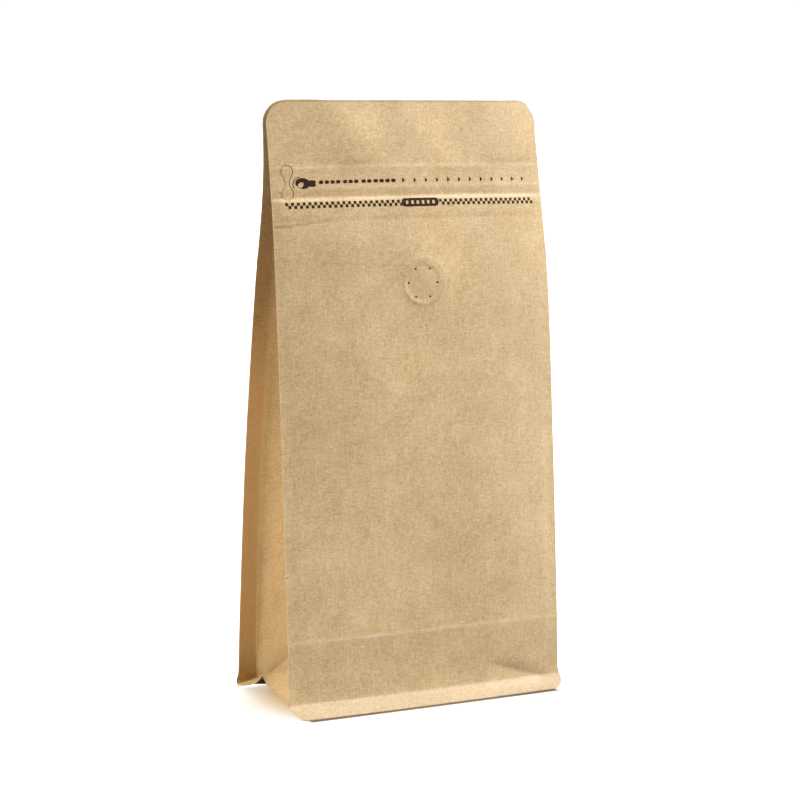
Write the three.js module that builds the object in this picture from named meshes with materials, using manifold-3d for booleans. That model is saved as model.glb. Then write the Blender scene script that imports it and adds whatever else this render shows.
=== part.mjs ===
// A flat-bottom coffee pouch of kraft paper. It stands empty, with its mouth pressed shut, its side gussets
// folded in and its base panel arched up between two sealed edges. A round valve sits in the front panel,
// and beside the zip a small tab is cut out for tearing the pouch open.
// Millimetres, +Z up, the front towards -Y. The origin is on the floor, under the middle of the pouch's box.
import * as THREE from "three";
import { mergeVertices } from "three/addons/utils/BufferGeometryUtils.js";
import Module from "manifold-3d";

const wasm = await Module();
wasm.setup();

// Pouch: overall sizes
const panelWidth = 135;
const pouchHeight = 265;
const mouthY = -5.9; // the mouth's line stands in front of the middle of the base
const rack = 4.2; // the back panel stands this far to the right of the front one at the floor

// Side edges of the two panels: height, and distance from the mouth's line
const frontEdge = [
  [0, -25.4],
  [15, -24.6],
  [50, -22.9],
  [110, -19.3],
  [185, -13.6],
  [225, -7.4],
  [pouchHeight, -0.8],
];
const backEdge = [
  [0, 38.4],
  [15, 37.6],
  [50, 33.5],
  [110, 25.2],
  [185, 11.0],
  [225, 3.0],
  [pouchHeight, 0.8],
];

// How far the middle of each panel stands in front of its side edges: height, distance
const frontBow = [
  [0, 1.2],
  [35, 0.4],
  [110, 2.2],
  [185, 4.8],
  [222, 6.0],
  [pouchHeight, 3.2],
];
const backBow = [
  [0, 0],
  [60, -2.0],
  [130, 0],
  [185, 2.6],
  [222, 4.4],
  [pouchHeight, 3.2],
];

// Sealed edges
const finWidth = 6; // the flat seal down each long edge
const finThickness = 1.2;
const bandHeight = 6.5; // the seal along the front and back of the base
const bandFlare = 2.1; // the band stands out this far at the floor
const topCornerRadius = 9.5;
const frontBaseCorner = 8.5;
const backBaseCorner = 2;

// Gussets and base
const gussetHalf = 32; // from the fin to the gusset's inner fold
const archHeight = 12.5; // the base panel's middle fold above the floor
const archSide = 7; // that fold, behind the mouth's line
const footDepth = 2.4; // what stands on the floor, front and back
const foldRise = 1.3; // depth of the gusset's fold gained for each millimetre above the arch
const slotMargin = 8; // how far a cutting solid reaches past the pouch

// Zip
const zipHeight = 222.6;
const zipRelief = 0.7;
const zipSpread = 1.7;

// Valve
const valveRadius = 10.3;
const valveSide = 1.2; // to the right of the panel's middle
const valveHeight = 186.7;
const valveThickness = 1.3;
const valveProud = 0.3;
const valveEdgeRound = 0.5;
const pinholeCircle = 6.9;
const pinholeRadius = 0.35;
const pinholeCount = 6;
const valveSides = 40;
const pinholeSides = 8;

// Tear tab: two round lobes with a waist between them
const tabSide = -59.4; // from the panel's middle
const tabHeight = 230.1;
const tabLobeRadius = 2.65;
const tabLobeSpacing = 9.6;
const tabWaist = 1.9;
const tabThickness = 0.6;
const tabProud = 0.1;
const tabArcSteps = 7;

const fitGap = 0.3; // all round a piece that sits in the panel
const pocketReach = 5; // a pocket's cutting solid stands this far out of the panel

// Facets
const panelColumns = 18;
const rowPitch = 13;
const cornerSteps = 5;

function paper(name, color, roughness) {
  return new THREE.MeshStandardMaterial({ name, color, roughness, metalness: 0 });
}

// A smooth value between the listed ones, by a cubic through each pair with its neighbours' slope.
function along(list, z) {
  const last = list.length - 1;
  const held = Math.min(Math.max(z, list[0][0]), list[last][0]);
  let i = 0;
  while (i < last - 1 && held > list[i + 1][0]) i += 1;
  const slope = (k) => {
    const before = list[Math.max(k - 1, 0)];
    const after = list[Math.min(k + 1, last)];
    return (after[1] - before[1]) / (after[0] - before[0]);
  };
  const [z0, v0] = list[i];
  const [z1, v1] = list[i + 1];
  const span = z1 - z0;
  const t = (held - z0) / span;
  const t2 = t * t;
  const t3 = t2 * t;
  const start = (2 * t3 - 3 * t2 + 1) * v0 + (t3 - 2 * t2 + t) * span * slope(i);
  const end = (3 * t2 - 2 * t3) * v1 + (t3 - t2) * span * slope(i + 1);
  return start + end;
}

function flare(z) {
  return bandFlare * Math.max(0, 1 - Math.max(0, z) / bandHeight);
}

function frontEdgeY(z) {
  return mouthY + along(frontEdge, z) - flare(z);
}

function backEdgeY(z) {
  return mouthY + along(backEdge, z) + flare(z);
}

// Middle of the front and of the back panel
const frontX = -rack / 2;

function backX(z) {
  return frontX + rack * (1 - z / pouchHeight);
}

// How much a rounded corner takes off a side, at a distance into the corner
function cornerCut(radius, into) {
  return radius - Math.sqrt(Math.max(0, radius ** 2 - Math.max(0, into) ** 2));
}

// Half a panel's width at a height, less its rounded corners
function halfWidth(z, baseCorner) {
  const topCut = cornerCut(topCornerRadius, z - (pouchHeight - topCornerRadius));
  return panelWidth / 2 - topCut - cornerCut(baseCorner, baseCorner - z);
}

// A panel's bow, from nothing at the side edges to all of it in the middle
function crown(side) {
  return 1 - (2 * side / panelWidth) ** 2;
}

function frontY(side, z) {
  const ridge = zipRelief * Math.exp(-(((z - zipHeight) / zipSpread) ** 2));
  return frontEdgeY(z) - (along(frontBow, z) + ridge) * crown(side);
}

function backY(side, z) {
  return backEdgeY(z) - along(backBow, z) * crown(side);
}

// Heights of the pouch's rows: even ones, with more at the corners, the base band and the zip
function rowHeights() {
  const heights = [bandHeight, archHeight, 18];
  for (let i = 0; i <= cornerSteps; i += 1) {
    const turn = (i / cornerSteps) * (Math.PI / 2);
    heights.push(frontBaseCorner * (1 - Math.cos(turn)));
    heights.push(backBaseCorner * (1 - Math.cos(turn)));
    heights.push(pouchHeight - topCornerRadius * (1 - Math.cos(turn)));
  }
  for (let i = -2; i <= 2; i += 1) heights.push(zipHeight + i * zipSpread);
  const lowest = 26;
  const highest = pouchHeight - topCornerRadius;
  const rows = Math.round((highest - lowest) / rowPitch);
  for (let i = 0; i < rows; i += 1) {
    const z = lowest + ((highest - lowest) * i) / rows;
    if (Math.abs(z - zipHeight) > rowPitch / 2) heights.push(z);
  }
  heights.sort((a, b) => a - b);
  return heights.filter((z, i) => i === 0 || z - heights[i - 1] > 0.2);
}

// A closed body through rings of equal length, the lowest first, each ring anticlockwise from above
function loft(rings) {
  const size = rings[0].length;
  const points = rings.flat();
  const faces = [];
  for (let r = 0; r + 1 < rings.length; r += 1) {
    for (let i = 0; i < size; i += 1) {
      const next = (i + 1) % size;
      const a = r * size + i;
      const b = r * size + next;
      faces.push(a, b, b + size, a, b + size, a + size);
    }
  }
  for (const [ring, facesUp] of [[0, false], [rings.length - 1, true]]) {
    const outline = rings[ring].map((p) => new THREE.Vector2(p.x, p.y));
    for (const [a, b, c] of THREE.ShapeUtils.triangulateShape(outline, [])) {
      const at = ring * size;
      if (facesUp) faces.push(at + a, at + b, at + c);
      else faces.push(at + a, at + c, at + b);
    }
  }
  const numbers = points.flatMap((p) => [p.x, p.y, p.z]);
  const geometry = new THREE.BufferGeometry();
  geometry.setAttribute("position", new THREE.Float32BufferAttribute(numbers, 3));
  geometry.setIndex(faces);
  return geometry;
}

function solid(geometry) {
  const bare = geometry.clone();
  bare.deleteAttribute("normal");
  bare.deleteAttribute("uv");
  const merged = mergeVertices(bare, 1e-5);
  const mesh = new wasm.Mesh({
    numProp: 3,
    vertProperties: new Float32Array(merged.attributes.position.array),
    triVerts: new Uint32Array(merged.index.array),
  });
  return new wasm.Manifold(mesh);
}

function geometryOf(body) {
  const mesh = body.getMesh();
  const geometry = new THREE.BufferGeometry();
  geometry.setAttribute("position", new THREE.Float32BufferAttribute(mesh.vertProperties, 3));
  geometry.setIndex(Array.from(mesh.triVerts));
  geometry.computeVertexNormals();
  return geometry;
}

// Point on the front panel and the turn that lays a flat shape on it, its +Z outwards
function frontSeat(side, z) {
  const reach = 4;
  const acrossSlope = (frontY(side + reach, z) - frontY(side - reach, z)) / (2 * reach);
  const upSlope = (frontY(side, z + reach) - frontY(side, z - reach)) / (2 * reach);
  const point = new THREE.Vector3(frontX + side, frontY(side, z), z);
  const right = new THREE.Vector3(1, acrossSlope, 0).normalize();
  const up = new THREE.Vector3(0, upSlope, 1);
  const outward = new THREE.Vector3().crossVectors(right, up).normalize();
  const trueUp = new THREE.Vector3().crossVectors(outward, right);
  return new THREE.Matrix4().makeBasis(right, trueUp, outward).setPosition(point);
}

// The pouch's outside, with neither gussets nor arch
function outerBody() {
  const rings = rowHeights().map((z) => {
    const frontHalf = halfWidth(z, frontBaseCorner);
    const backHalf = halfWidth(z, backBaseCorner);
    const ring = [];
    for (let i = 0; i <= panelColumns; i += 1) {
      const side = frontHalf * ((2 * i) / panelColumns - 1);
      ring.push(new THREE.Vector3(frontX + side, frontY(side, z), z));
    }
    for (let i = panelColumns; i >= 0; i -= 1) {
      const side = backHalf * ((2 * i) / panelColumns - 1);
      ring.push(new THREE.Vector3(backX(z) + side, backY(side, z), z));
    }
    return ring;
  });
  return solid(loft(rings));
}

// How deep the gusset's inner fold lies, from the panels' side edges
function foldDepth(z) {
  const halfGap = (backEdgeY(z) - frontEdgeY(z)) / 2;
  const folded = finWidth + Math.sqrt(Math.max(0, gussetHalf ** 2 - halfGap ** 2));
  const atBase = 1 + foldRise * Math.max(0, z - archHeight);
  return Math.min(folded, atBase);
}

// The space outside one gusset: right is 1 for the right side and -1 for the left
function gussetSpace(right) {
  const smallestGap = 0.4;
  const rings = [];
  for (const z of [-slotMargin, ...rowHeights()]) {
    const front = frontEdgeY(z) + finThickness;
    const back = backEdgeY(z) - finThickness;
    if (back - front < smallestGap) break;
    const frontSide = frontX + (right * panelWidth) / 2;
    const backSide = backX(z) + (right * panelWidth) / 2;
    const middle = (frontSide + backSide) / 2;
    const outside = right * (panelWidth / 2 + slotMargin);
    const depth = foldDepth(z);
    const foldSide = panelWidth / 2 - depth;
    const foldY = (frontY(foldSide, z) + backY(foldSide, z)) / 2;
    const ring = [
      new THREE.Vector3(outside, back, z),
      new THREE.Vector3(backSide - right * finWidth, back, z),
      new THREE.Vector3(middle - right * depth, foldY, z),
      new THREE.Vector3(frontSide - right * finWidth, front, z),
      new THREE.Vector3(outside, front, z),
    ];
    if (right > 0) ring.reverse();
    rings.push(ring.reverse());
  }
  return solid(loft(rings));
}

// The space under the arched base panel, right through from side to side
function archSpace() {
  const outline = new THREE.Shape();
  const under = -slotMargin;
  outline.moveTo(frontEdgeY(0) + footDepth, under);
  outline.lineTo(backEdgeY(0) - footDepth, under);
  outline.lineTo(backEdgeY(0) - footDepth, 0);
  outline.lineTo(mouthY + archSide, archHeight);
  outline.lineTo(frontEdgeY(0) + footDepth, 0);
  outline.closePath();
  const length = panelWidth + 2 * slotMargin;
  const prism = new THREE.ExtrudeGeometry(outline, { depth: length, bevelEnabled: false });
  const alongX = new THREE.Matrix4().makeBasis(
    new THREE.Vector3(0, 1, 0),
    new THREE.Vector3(0, 0, 1),
    new THREE.Vector3(1, 0, 0),
  );
  prism.applyMatrix4(alongX.setPosition(-length / 2, 0, 0));
  return solid(prism);
}

// Outline of the tear tab, grown by a margin
function tabOutline(margin) {
  const radius = tabLobeRadius + margin;
  const lobe = tabLobeSpacing / 2;
  const lean = Math.PI / 5; // where a lobe's arc gives way to the waist
  const waistBend = tabWaist + 2 * margin - radius * Math.cos(lean);
  const shape = new THREE.Shape();
  shape.absarc(0, lobe, radius, -lean, Math.PI + lean, false);
  shape.quadraticCurveTo(-waistBend, 0, -radius * Math.cos(lean), radius * Math.sin(lean) - lobe);
  shape.absarc(0, -lobe, radius, Math.PI - lean, lean + 2 * Math.PI, false);
  shape.quadraticCurveTo(waistBend, 0, radius * Math.cos(lean), lobe - radius * Math.sin(lean));
  return shape;
}

// The tab's shape, from one height off the front panel to another
function tabBody(margin, low, high) {
  const extrusion = { depth: high - low, bevelEnabled: false, curveSegments: tabArcSteps };
  const body = new THREE.ExtrudeGeometry(tabOutline(margin), extrusion);
  body.translate(0, 0, low);
  body.applyMatrix4(frontSeat(tabSide, tabHeight));
  return solid(body);
}

// A round body about the valve's axis, from one height off the front panel to another
function valveRound(radius, low, high, edgeRound) {
  const profile = [new THREE.Vector2(0, low), new THREE.Vector2(radius, low)];
  profile.push(new THREE.Vector2(radius, high - edgeRound));
  if (edgeRound > 0) profile.push(new THREE.Vector2(radius - edgeRound, high));
  profile.push(new THREE.Vector2(0, high));
  const body = new THREE.LatheGeometry(profile, valveSides);
  body.rotateX(Math.PI / 2);
  body.applyMatrix4(frontSeat(valveSide, valveHeight));
  return solid(body);
}

function pinhole(index) {
  const turn = (index / pinholeCount) * 2 * Math.PI;
  const hole = new THREE.CylinderGeometry(pinholeRadius, pinholeRadius, 4 * valveThickness, pinholeSides);
  hole.rotateX(Math.PI / 2);
  hole.translate(pinholeCircle * Math.cos(turn), pinholeCircle * Math.sin(turn), 0);
  hole.applyMatrix4(frontSeat(valveSide, valveHeight));
  return solid(hole);
}

function makePouch() {
  let body = outerBody();
  body = body.subtract(gussetSpace(-1));
  body = body.subtract(gussetSpace(1));
  body = body.subtract(archSpace());
  const valveFloor = valveProud - valveThickness - fitGap;
  const tabFloor = tabProud - tabThickness - fitGap;
  body = body.subtract(valveRound(valveRadius + fitGap, valveFloor, pocketReach, 0));
  body = body.subtract(tabBody(fitGap, tabFloor, pocketReach));
  const pouch = new THREE.Mesh(geometryOf(body), paper("kraft_paper", "#ccaf82", 0.86));
  pouch.name = "pouch";
  return pouch;
}

function makeValve() {
  let body = valveRound(valveRadius, valveProud - valveThickness, valveProud, valveEdgeRound);
  for (let i = 0; i < pinholeCount; i += 1) body = body.subtract(pinhole(i));
  const valve = new THREE.Mesh(geometryOf(body), paper("valve_paper", "#d0b387", 0.82));
  valve.name = "valve";
  return valve;
}

function makePullTab() {
  const body = tabBody(0, tabProud - tabThickness, tabProud);
  const tab = new THREE.Mesh(geometryOf(body), paper("tab_paper", "#cbae80", 0.86));
  tab.name = "pull_tab";
  return tab;
}

const coffeePouch = new THREE.Group();
coffeePouch.add(makePouch(), makeValve(), makePullTab());

export default coffeePouch;
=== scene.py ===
import math
from functools import lru_cache

import bpy
from mathutils import Matrix, Vector, noise


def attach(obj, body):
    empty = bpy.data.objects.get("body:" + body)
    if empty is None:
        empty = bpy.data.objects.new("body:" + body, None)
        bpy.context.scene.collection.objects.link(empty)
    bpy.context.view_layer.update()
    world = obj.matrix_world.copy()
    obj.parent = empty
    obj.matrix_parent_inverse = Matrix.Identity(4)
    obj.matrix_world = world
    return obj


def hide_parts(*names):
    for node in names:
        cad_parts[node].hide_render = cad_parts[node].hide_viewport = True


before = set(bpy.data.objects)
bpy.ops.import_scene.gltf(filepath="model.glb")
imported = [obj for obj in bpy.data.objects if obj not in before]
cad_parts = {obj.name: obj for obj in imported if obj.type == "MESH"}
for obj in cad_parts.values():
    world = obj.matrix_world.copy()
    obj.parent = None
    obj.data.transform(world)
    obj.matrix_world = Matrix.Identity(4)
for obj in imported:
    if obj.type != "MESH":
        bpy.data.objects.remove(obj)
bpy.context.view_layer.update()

mm = 0.001
bpy.ops.object.select_all(action="DESELECT")
print("frame loaded")

# the pouch: shapes that all its sheets share, in millimetres
pouch = {
    "width": 135.0,
    "height": 265.0,
    "mouthY": -5.9,
    "rack": 4.2,  # the back panel stands this far to the right at the floor
    # height, how far behind the mouth the side edges of the front and back panels are
    "frontEdge": [(0, -25.4), (15, -24.6), (50, -22.9), (110, -19.3), (185, -13.6), (225, -7.4), (265, -0.8)],
    "backEdge": [(0, 38.4), (15, 37.6), (50, 33.5), (110, 25.2), (185, 11.0), (225, 3.0), (265, 0.8)],
    # height, how far each panel's middle bows forward of its side edges
    "frontBow": [(0, 1.2), (12, 1.1), (110, 3.6), (240, 7.6), (265, 7.3)],
    "backBow": [(0, 0), (60, -2.0), (130, 0), (185, 3.4), (222, 5.9), (240, 7.0), (265, 7.3)],
    "topNarrow": 1.1,  # each side comes in this much towards the mouth
    "narrowing": (165, 255),  # between these heights
    "paper": 0.24,
    "layerGap": 0.02,
    "bandHeight": 6.5,
    "bandFlare": 2.1,
    "topCorner": 9.5,
    "upper": 200,  # above this height a sheet takes its width from a little higher up
    "frontBaseCorner": 8.5,
    "rightBaseCorner": 4.5,
    "backBaseCorner": 2.0,
    "fin": 6.0,
    "seal": 8.2,  # the fin with the edge of its seal
    "gussetHalf": 32.0,
    "archHeight": 12.5,
    "archSide": 6.0,
    "foldRise": 1.3,
}
halfPanel = pouch["width"] / 2
frontX = -pouch["rack"] / 2
twoPlies = 2 * pouch["paper"] + pouch["layerGap"]


def smooth(low, high, value):
    share = min(max((value - low) / (high - low), 0.0), 1.0)
    return share * share * (3 - 2 * share)


def along(points, at):  # a smooth curve through the points
    last = len(points) - 1
    held = min(max(at, points[0][0]), points[last][0])
    i = 0
    while i < last - 1 and held > points[i + 1][0]:
        i += 1

    def slope(k):
        before, after = points[max(k - 1, 0)], points[min(k + 1, last)]
        return (after[1] - before[1]) / (after[0] - before[0])

    (at0, value0), (at1, value1) = points[i], points[i + 1]
    span = at1 - at0
    t = (held - at0) / span
    start = (2 * t**3 - 3 * t**2 + 1) * value0 + (t**3 - 2 * t**2 + t) * span * slope(i)
    end = (3 * t**2 - 2 * t**3) * value1 + (t**3 - t**2) * span * slope(i + 1)
    return start + end


def straight(points, at):  # the same with straight lines between the points
    for (at0, value0), (at1, value1) in zip(points, points[1:]):
        if at <= at1:
            return value0 + (value1 - value0) * max(0.0, (at - at0) / (at1 - at0))
    return points[-1][1]


@lru_cache(maxsize=None)
def heightValues(z):
    flare = pouch["bandFlare"] * max(0.0, 1 - max(0.0, z) / pouch["bandHeight"])
    front = pouch["mouthY"] + along(pouch["frontEdge"], z) - flare
    back = pouch["mouthY"] + along(pouch["backEdge"], z) + flare
    return front, back, along(pouch["frontBow"], z), along(pouch["backBow"], z)


def backX(z):
    return frontX + pouch["rack"] * (1 - z / pouch["height"])


def cornerCut(radius, into):
    return radius - math.sqrt(max(0.0, radius**2 - max(0.0, into) ** 2))


def halfWidth(z, baseCorner):
    topCut = cornerCut(pouch["topCorner"], z - (pouch["height"] - pouch["topCorner"]))
    narrow = pouch["topNarrow"] * smooth(*pouch["narrowing"], z)
    return halfPanel - narrow - topCut - cornerCut(baseCorner, baseCorner - z)


def towardsTop(z, short):  # a sheet that ends this far short of the top still gets its full corners
    return min(z + short, pouch["height"]) if z > pouch["upper"] else z


def crown(side):
    return 1 - (side / halfPanel) ** 2


def heldIn(side, reach):  # 0 on the side edges, 1 from this reach inward
    return smooth(halfPanel, halfPanel - reach, abs(side))


def between(value, starts, ends):  # rises over the first span and falls over the second
    return smooth(*starts, value) * smooth(*ends, value)


def partly(least, share):
    return least + (1 - least) * share


def gridLines(zones):  # zones are (from, to, pitch), the lowest first
    lines = []
    for low, high, pitch in zones:
        steps = max(1, round((high - low) / pitch))
        lines += [low + (high - low) * i / steps for i in range(steps)]
    return lines + [zones[-1][1]]


def rippleSum(ripples, side, z):  # ripples are (length across, length up, seed, height)
    total = 0.0
    for across, up, seed, height in ripples:
        total += noise.noise(Vector((side / across, z / up, seed))) * height
    return total


def bulgeSum(shapes, side, z):
    total, faded = 0.0, 12
    for centre, height, across, up, turn, out in shapes:
        x, y = side - centre, z - height
        span = ((x * math.cos(turn) + y * math.sin(turn)) / across) ** 2
        span += ((y * math.cos(turn) - x * math.sin(turn)) / up) ** 2
        if span < faded:
            total += out * math.exp(-span)
    return total


# the mouth, where both panels are pressed together
mouth = {
    "shut": 262,  # pressed shut from this height up
    "rise": 0.2,  # its edge stands this much higher in the middle
    "riseFrom": 236,
    "pressFrom": 240,
    "pressSide": 0.24,  # how far each panel is pressed in, over the gussets
    "pressMiddle": 0.52,  # and between them
    "between": (36, 28),
    "foldsFrom": 235.4,
    "foldsFull": 241,
    "foldHold": 7,
    # soft folds that both panels share: side, height, reach across, reach up, turn, how far out
    "folds": [
        (-32, 252, 12, 18, 0.3, 1.3),
        (0, 256, 9, 14, 0.6, 0.9),
        (48, 254, 16, 18, 0.2, 1.6),
        (20, 246, 9, 6, 0, -0.5),  # the hollow left of the last one
    ],
}
zipLine = {"sag": 0.8, "middle": 10, "reach": 70, "spans": ((190, 210), (262, 244))}


@lru_cache(maxsize=None)
def mouthWave(side, z):
    if z < mouth["foldsFrom"] or abs(side) >= halfPanel:
        return 0.0
    held = heldIn(side, mouth["foldHold"]) * smooth(mouth["foldsFrom"], mouth["foldsFull"], z)
    return held * bulgeSum(mouth["folds"], side, z)


def mouthLift(side, z):
    return mouth["rise"] * crown(side) * smooth(mouth["riseFrom"], mouth["shut"], z)


def mouthPinch(side, z):
    middle = smooth(*mouth["between"], abs(side))
    pressed = mouth["pressSide"] + (mouth["pressMiddle"] - mouth["pressSide"]) * middle
    return pressed * smooth(mouth["pressFrom"], mouth["shut"], z)


def zipSag(side):  # the zip and its prints dip a little towards both sides
    return -zipLine["sag"] * ((side - zipLine["middle"]) / zipLine["reach"]) ** 2


# ---- modelling helpers
def makeActive(piece):
    bpy.ops.object.select_all(action="DESELECT")
    piece.select_set(True)
    bpy.context.view_layer.objects.active = piece


def applyModifier(piece, modifier):
    makeActive(piece)
    bpy.ops.object.modifier_apply(modifier=modifier.name)


def editAll(operator, **settings):  # in edit mode, with everything selected
    bpy.ops.object.mode_set(mode="EDIT")
    bpy.ops.mesh.select_all(action="SELECT")
    operator(**settings)
    bpy.ops.object.mode_set(mode="OBJECT")


def addSheet(name, columns, rows, place, wornAndLit=None):
    bpy.ops.object.select_all(action="DESELECT")
    bpy.ops.mesh.primitive_grid_add(x_subdivisions=columns, y_subdivisions=rows, size=1)
    sheet = bpy.context.active_object
    sheet.name = sheet.data.name = name
    # a vertex attribute for painted light and painted shade, along with paler worn creases; the paper
    # materials read it
    lightShadeAndWear = sheet.data.attributes.new("lightShadeAndWear", "FLOAT", "POINT")
    for vertex in sheet.data.vertices:
        column = round((vertex.co.x + 0.5) * columns)
        row = round((vertex.co.y + 0.5) * rows)
        point = place(column, row)
        if wornAndLit:
            lightShadeAndWear.data[vertex.index].value = wornAndLit(column, row)
        vertex.co = Vector(point) * mm
    return sheet


def thicken(sheet):
    solidify = sheet.modifiers.new("thickness", "SOLIDIFY")
    solidify.thickness = pouch["paper"] * mm
    solidify.offset = -1
    solidify.use_even_offset = False
    solidify.material_offset_rim = 1
    applyModifier(sheet, solidify)


def finishPiece(piece, materials, replaced=(), angle=35):
    piece.data.materials.clear()
    for material in materials:
        piece.data.materials.append(material)
    makeActive(piece)
    bpy.ops.object.shade_smooth_by_angle(angle=math.radians(angle))
    bpy.ops.object.select_all(action="DESELECT")
    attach(piece, "root")
    if replaced:
        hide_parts(*replaced)


# ---- materials
def nodeGroup(name, inputs, outputs):
    group = bpy.data.node_groups.new(name, "ShaderNodeTree")
    for socket, kind, value in inputs:
        made = group.interface.new_socket(name=socket, in_out="INPUT", socket_type=kind)
        if value is not None:
            made.default_value = value
    for socket, kind in outputs:
        group.interface.new_socket(name=socket, in_out="OUTPUT", socket_type=kind)
    return group, group.nodes.new("NodeGroupInput"), group.nodes.new("NodeGroupOutput")


def addNode(tree, kind, **settings):
    node = tree.nodes.new("ShaderNode" + kind)
    inputs = settings.pop("inputs", {})
    for name, value in settings.items():
        setattr(node, name, value)
    for name, value in inputs.items():
        if isinstance(value, bpy.types.NodeSocket):
            tree.links.new(value, node.inputs[name])
        else:
            node.inputs[name].default_value = value
    return node


def mathNode(tree, operation, first, second=0.0, third=None, clamp=False):
    inputs = {0: first, 1: second}
    if third is not None:
        inputs[2] = third
    return addNode(tree, "Math", operation=operation, use_clamp=clamp, inputs=inputs).outputs[0]


def mixColour(tree, share, first, second):
    mix = addNode(tree, "Mix", data_type="RGBA", inputs={0: share, 6: first, 7: second})
    return mix.outputs[2]


def rangeNode(tree, value, low, high, toLow=0.0, toHigh=1.0):
    sockets = {"Value": value, "From Min": low, "From Max": high, "To Min": toLow, "To Max": toHigh}
    return addNode(tree, "MapRange", inputs=sockets).outputs[0]


def buildFibreGroup():
    group, given, result = nodeGroup(
        "paperFibre",
        [("Vector", "NodeSocketVector", None), ("Grain Scale", "NodeSocketFloat", 900.0)],
        [("Tone", "NodeSocketFloat"), ("Fleck", "NodeSocketFloat"), ("Height", "NodeSocketFloat")],
    )
    at, scale = given.outputs["Vector"], given.outputs["Grain Scale"]

    def noiseTone(place, scale, detail, roughness=0.5):
        sockets = {"Vector": place, "Scale": scale, "Detail": detail, "Roughness": roughness}
        return addNode(group, "TexNoise", inputs=sockets).outputs[0]

    grain = noiseTone(at, scale, 5.0, 0.68)
    laid = addNode(group, "Mapping", inputs={"Vector": at, "Scale": (0.22, 0.22, 1.0)})
    across = noiseTone(laid.outputs[0], 1500.0, 3.0)
    upright = addNode(group, "Mapping", inputs={"Vector": at, "Scale": (1.0, 1.0, 0.16)})
    strands = noiseTone(upright.outputs[0], 1300.0, 3.0)
    cloud = noiseTone(at, 75.0, 4.0, 0.6)
    tone = mathNode(group, "MULTIPLY", grain, 0.46)
    for part, share in ((across, 0.2), (strands, 0.16), (cloud, 0.18)):
        tone = mathNode(group, "MULTIPLY_ADD", part, share, tone)
    spots = addNode(group, "TexVoronoi", inputs={"Vector": at, "Scale": 150.0, "Randomness": 1.0})
    small = rangeNode(group, spots.outputs["Distance"], 0.075, 0.03)
    chance = addNode(group, "SeparateColor", inputs={"Color": spots.outputs["Color"]})
    fleck = mathNode(group, "MULTIPLY", small, mathNode(group, "GREATER_THAN", chance.outputs[0], 0.62))
    height = mathNode(group, "MULTIPLY_ADD", strands, 0.5, tone)
    for socket, value in (("Tone", tone), ("Fleck", fleck), ("Height", height)):
        group.links.new(value, result.inputs[socket])
    return group


fibreGroup = buildFibreGroup()


def startMaterial(name):
    material = bpy.data.materials.new(name)
    material.use_nodes = True
    return material, material.node_tree, material.node_tree.nodes["Principled BSDF"]


def startPaper(name, look):
    material, tree, shader = startMaterial(name)
    fibre = addNode(tree, "Group", node_tree=fibreGroup)
    tree.links.new(addNode(tree, "TexCoord").outputs["Object"], fibre.inputs["Vector"])
    fibre.inputs["Grain Scale"].default_value = look["grainScale"]
    share = rangeNode(tree, fibre.outputs["Tone"], 0.5 - look["spread"], 0.5 + look["spread"])
    return material, tree, shader, fibre.outputs, mixColour(tree, share, look["dark"], look["light"])


def finishSurface(tree, shader, fibre, look, colour):
    tree.links.new(colour, shader.inputs["Base Color"])
    roughest, smoothest = look["roughness"] + look["roughSpread"], look["roughness"] - look["roughSpread"]
    rough = rangeNode(tree, fibre["Tone"], 0.3, 0.7, roughest, smoothest)
    tree.links.new(rough, shader.inputs["Roughness"])
    sockets = {"Strength": look["bump"], "Distance": look["bumpDistance"], "Height": fibre["Height"]}
    tree.links.new(addNode(tree, "Bump", inputs=sockets).outputs[0], shader.inputs["Normal"])
    shader.inputs["Specular IOR Level"].default_value = look["specular"]


def paperMaterial(name, look):
    material, tree, shader, fibre, colour = startPaper(name, look)
    fleck = mathNode(tree, "MULTIPLY", fibre["Fleck"], look["fleckStrength"])
    colour = mixColour(tree, fleck, colour, look["fleck"])
    # above 0 the attribute turns the paper toward the pale colour, as worn creases and painted highlights;
    # below 0 toward the fleck colour, as painted shade
    lightShadeAndWear = addNode(tree, "Attribute", attribute_name="lightShadeAndWear").outputs["Fac"]
    pale = mathNode(tree, "MULTIPLY", lightShadeAndWear, look["wearAndLight"], clamp=True)
    colour = mixColour(tree, pale, colour, look["wornAndLit"])
    shade = mathNode(tree, "MULTIPLY", lightShadeAndWear, -look["shade"], clamp=True)
    colour = mixColour(tree, shade, colour, look["fleck"])
    finishSurface(tree, shader, fibre, look, colour)
    return material


def inkMaterial(name, look):
    material, tree, shader, fibre, colour = startPaper(name, look)
    thin = rangeNode(tree, fibre["Tone"], look["thinFrom"], look["thinFull"], 0.0, look["thinMost"])
    finishSurface(tree, shader, fibre, look, mixColour(tree, thin, colour, look["wornAndLit"]))
    return material


kraftLook = {
    "dark": (0.455, 0.300, 0.132, 1),
    "light": (0.682, 0.506, 0.283, 1),
    "spread": 0.1,
    # the fleck colour is also the colour that painted shade darkens toward
    "fleck": (0.25, 0.15, 0.06, 1),
    "fleckStrength": 0.85,
    # the pale colour for worn creases and painted highlights, and how strongly the attribute paints it
    "wornAndLit": (0.64, 0.535, 0.41, 1),
    "wearAndLight": 0.55,
    "shade": 0.5,
    "grainScale": 1150.0,
    "roughness": 0.66,
    "roughSpread": 0.06,
    "bump": 0.55,
    "bumpDistance": 0.00012,
    "specular": 0.5,
}
# the gussets' paper: the same kraft with warmer, more saturated colours that paint in the warm bounce light
# of the folds, and a brighter pale colour for their painted light
gussetShadedLook = {
    **kraftLook,
    "dark": (0.485, 0.302, 0.118, 1),
    "light": (0.695, 0.480, 0.228, 1),
    "wornAndLit": (0.95, 0.69, 0.37, 1),
    "wearAndLight": 0.8,
}
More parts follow.
